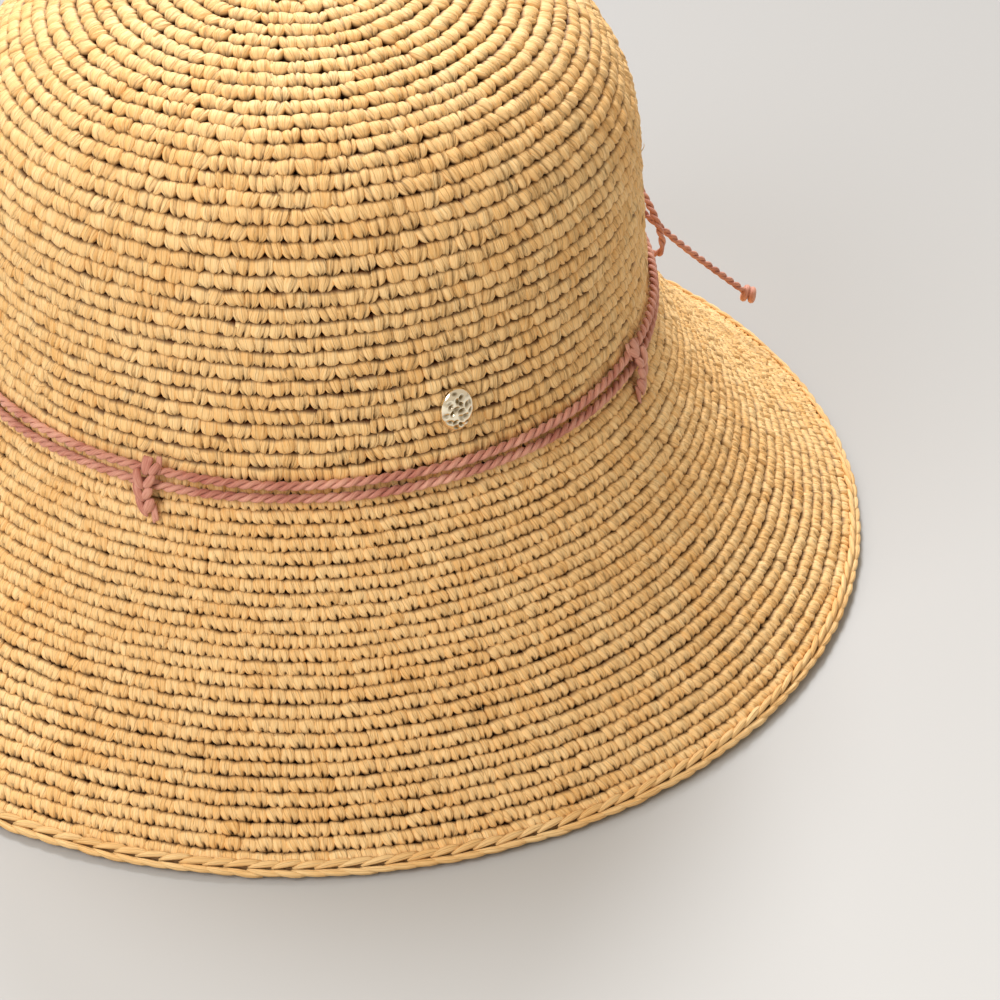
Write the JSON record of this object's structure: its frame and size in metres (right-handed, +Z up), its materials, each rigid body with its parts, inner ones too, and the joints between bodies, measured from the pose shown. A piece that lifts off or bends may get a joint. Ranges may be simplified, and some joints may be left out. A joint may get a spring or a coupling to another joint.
{
  "type": "crocheted raffia sun hat",
  "caption": "Crocheted raffia sun hat with a domed crown, a sloping bell brim, a twisted trim cord tied in a bow at the back, and an oval metal stud.",
  "frame": {"origin": "middle of the circle that the brim's edging stands on, at the level of the surface", "axes": "+Z up through the crown's tip, -Y towards the front of the hat, +X towards the wearer's left"},
  "size_m": [0.322, 0.322, 0.187],
  "materials": {
    "raffia": "crocheted natural raffia",
    "raffia_edging": "chain-stitched natural raffia",
    "ribbon": "ribbed grosgrain ribbon",
    "trim_cord": "two-ply twisted raffia cord, dusty rose",
    "stud_metal": "pale champagne plating"
  },
  "bodies": {
    "root": {"crown_tip": "raffia", "crown_shoulder": "raffia", "crown_wall": "raffia", "brim_inner": "raffia", "brim_outer": "raffia", "brim_edging": "raffia_edging", "sweatband": "ribbon", "sweatband_tab": "ribbon", "cord_turn_lower": "trim_cord", "cord_turn_upper": "trim_cord", "cord_keeper_front": "trim_cord", "cord_keeper_left": "trim_cord", "cord_keeper_right": "trim_cord", "bow_knot": "trim_cord", "bow_loop_left": "trim_cord", "bow_loop_right": "trim_cord", "bow_tail_left": "trim_cord", "bow_tail_right": "trim_cord", "tail_end_knot_left": "trim_cord", "tail_end_knot_right": "trim_cord", "stud_cap": "stud_metal", "stud_prongs": "stud_metal", "stud_back_plate": "stud_metal"}
  },
  "joints": []
}
